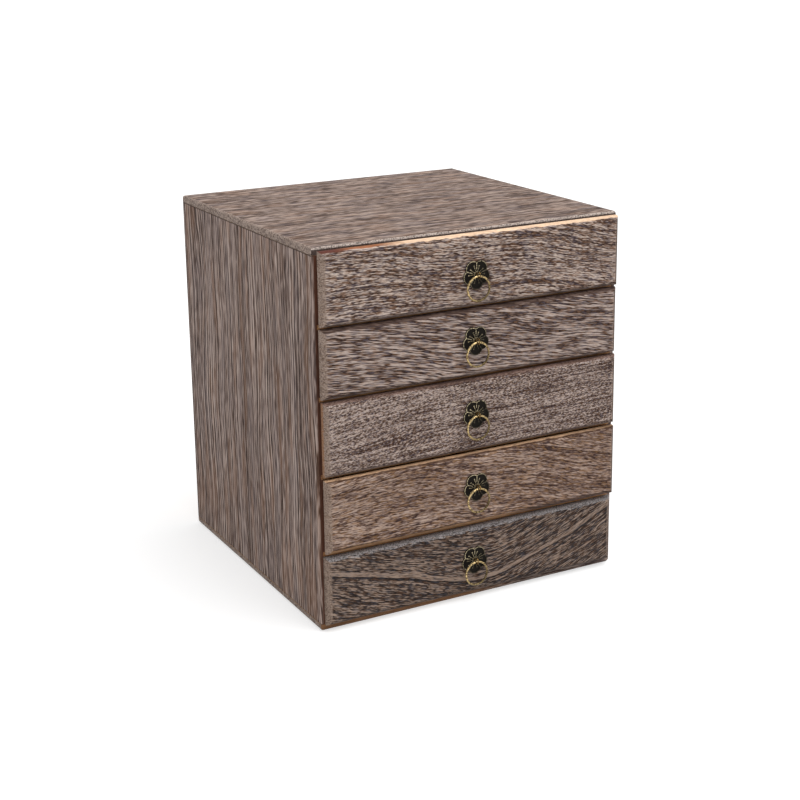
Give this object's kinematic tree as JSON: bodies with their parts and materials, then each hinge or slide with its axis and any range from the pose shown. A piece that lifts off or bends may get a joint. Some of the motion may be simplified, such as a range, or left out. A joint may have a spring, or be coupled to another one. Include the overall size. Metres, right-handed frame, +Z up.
{
  "type": "tabletop drawer cabinet",
  "caption": "Small free-standing wooden tabletop cabinet with a stack of full-width drawers that slide out, each with a blossom plate and a swinging ring pull.",
  "frame": {"origin": "middle of the case's underside, on the surface it stands on", "axes": "+Z up, -Y out of the drawer fronts, +X to the right of someone facing the drawers"},
  "size_m": [0.25, 0.2553, 0.28],
  "materials": {
    "face_wood": "brushed and stained grey-brown, worn edges",
    "case_wood": "brushed and stained grey-brown",
    "top_wood": "brushed and stained grey-brown, lighter from wear",
    "raw_wood": "unstained, sanded",
    "dark_bronze": "darkened, rubbed bright on the raised lines",
    "aged_brass": "aged, satin"
  },
  "bodies": {
    "case": {"top_board": "top_wood", "bottom_board": "case_wood", "left_side_board": "case_wood", "right_side_board": "case_wood", "back_board": "raw_wood", "shelf_1": "raw_wood", "shelf_2": "raw_wood", "shelf_3": "raw_wood", "shelf_4": "raw_wood"},
    "drawer_1": {"drawer_1_face": "face_wood", "drawer_1_box_front": "raw_wood", "drawer_1_left_wall": "raw_wood", "drawer_1_right_wall": "raw_wood", "drawer_1_back_wall": "raw_wood", "drawer_1_bottom": "raw_wood", "drawer_1_pull_plate": "dark_bronze", "drawer_1_pull_eye": "dark_bronze"},
    "ring_1": {"drawer_1_pull_ring": "aged_brass"},
    "drawer_2": {"drawer_2_face": "face_wood", "drawer_2_box_front": "raw_wood", "drawer_2_left_wall": "raw_wood", "drawer_2_right_wall": "raw_wood", "drawer_2_back_wall": "raw_wood", "drawer_2_bottom": "raw_wood", "drawer_2_pull_plate": "dark_bronze", "drawer_2_pull_eye": "dark_bronze"},
    "ring_2": {"drawer_2_pull_ring": "aged_brass"},
    "drawer_3": {"drawer_3_face": "face_wood", "drawer_3_box_front": "raw_wood", "drawer_3_left_wall": "raw_wood", "drawer_3_right_wall": "raw_wood", "drawer_3_back_wall": "raw_wood", "drawer_3_bottom": "raw_wood", "drawer_3_pull_plate": "dark_bronze", "drawer_3_pull_eye": "dark_bronze"},
    "ring_3": {"drawer_3_pull_ring": "aged_brass"},
    "drawer_4": {"drawer_4_face": "face_wood", "drawer_4_box_front": "raw_wood", "drawer_4_left_wall": "raw_wood", "drawer_4_right_wall": "raw_wood", "drawer_4_back_wall": "raw_wood", "drawer_4_bottom": "raw_wood", "drawer_4_pull_plate": "dark_bronze", "drawer_4_pull_eye": "dark_bronze"},
    "ring_4": {"drawer_4_pull_ring": "aged_brass"},
    "drawer_5": {"drawer_5_face": "face_wood", "drawer_5_box_front": "raw_wood", "drawer_5_left_wall": "raw_wood", "drawer_5_right_wall": "raw_wood", "drawer_5_back_wall": "raw_wood", "drawer_5_bottom": "raw_wood", "drawer_5_pull_plate": "dark_bronze", "drawer_5_pull_eye": "dark_bronze"},
    "ring_5": {"drawer_5_pull_ring": "aged_brass"}
  },
  "joints": [
    {"name": "drawer_1_slide", "type": "slide", "parent": "case", "child": "drawer_1", "axis": [0, -1, 0], "range_m": [-0.003, 0.18]},
    {"name": "ring_1_swing", "type": "hinge", "parent": "drawer_1", "child": "ring_1", "pos_m": [-0.0015, -0.13255, 0.24801], "axis": [-1, 0, 0], "range_deg": [-8, 180]},
    {"name": "drawer_2_slide", "type": "slide", "parent": "case", "child": "drawer_2", "axis": [0, -1, 0], "range_m": [-0.002, 0.18]},
    {"name": "ring_2_swing", "type": "hinge", "parent": "drawer_2", "child": "ring_2", "pos_m": [-0.0015, -0.13155, 0.19958], "axis": [-1, 0, 0], "range_deg": [-8, 180]},
    {"name": "drawer_3_slide", "type": "slide", "parent": "case", "child": "drawer_3", "axis": [0, -1, 0], "range_m": [-0.0027, 0.18]},
    {"name": "ring_3_swing", "type": "hinge", "parent": "drawer_3", "child": "ring_3", "pos_m": [-0.0015, -0.13225, 0.145], "axis": [-1, 0, 0], "range_deg": [-8, 180]},
    {"name": "drawer_4_slide", "type": "slide", "parent": "case", "child": "drawer_4", "axis": [0, -1, 0], "range_m": [-0.0032, 0.18]},
    {"name": "ring_4_swing", "type": "hinge", "parent": "drawer_4", "child": "ring_4", "pos_m": [-0.0015, -0.13275, 0.08927], "axis": [-1, 0, 0], "range_deg": [-8, 180]},
    {"name": "drawer_5_slide", "type": "slide", "parent": "case", "child": "drawer_5", "axis": [0, -1, 0], "range_m": [0, 0.18]},
    {"name": "ring_5_swing", "type": "hinge", "parent": "drawer_5", "child": "ring_5", "pos_m": [-0.0015, -0.12955, 0.03079], "axis": [-1, 0, 0], "range_deg": [-8, 180]}
  ]
}
